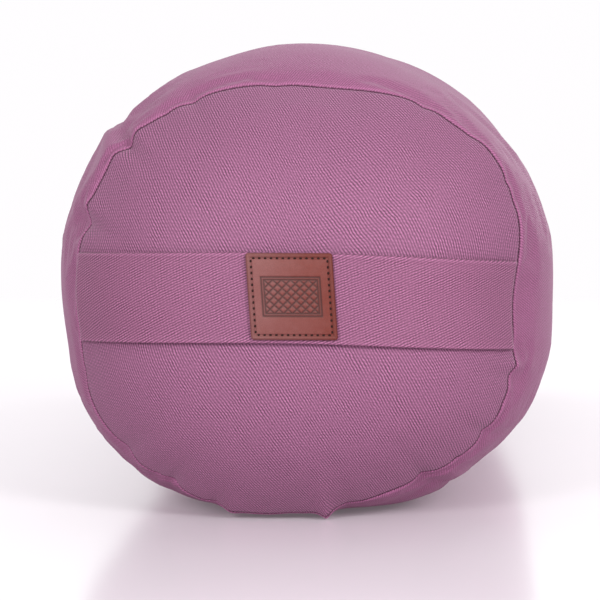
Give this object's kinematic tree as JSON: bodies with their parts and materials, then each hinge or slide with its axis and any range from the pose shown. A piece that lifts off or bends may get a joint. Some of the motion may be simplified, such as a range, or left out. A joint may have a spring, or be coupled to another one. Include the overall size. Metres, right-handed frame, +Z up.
{
  "type": "round yoga bolster",
  "caption": "Stuffed round cloth bolster lying on its side, with crowned end panels, a flat carry strap sewn across the front end and a small leather patch on the strap.",
  "frame": {"origin": "on the floor, under the middle of the bolster lying on its side", "axes": "+Y along the tube, from the front end with the strap to the back end; +Z up; +X to the right as seen from the front"},
  "size_m": [0.2277, 0.654, 0.211],
  "materials": {
    "twill": "matte diagonal twill",
    "strap_twill": "matte diagonal twill, folded and topstitched",
    "leather": "smooth, slightly waxed"
  },
  "bodies": {
    "root": {"filled_tube": "twill", "end_panel_front": "twill", "end_panel_back": "twill", "carry_strap": "strap_twill", "leather_patch": "leather"}
  },
  "joints": []
}
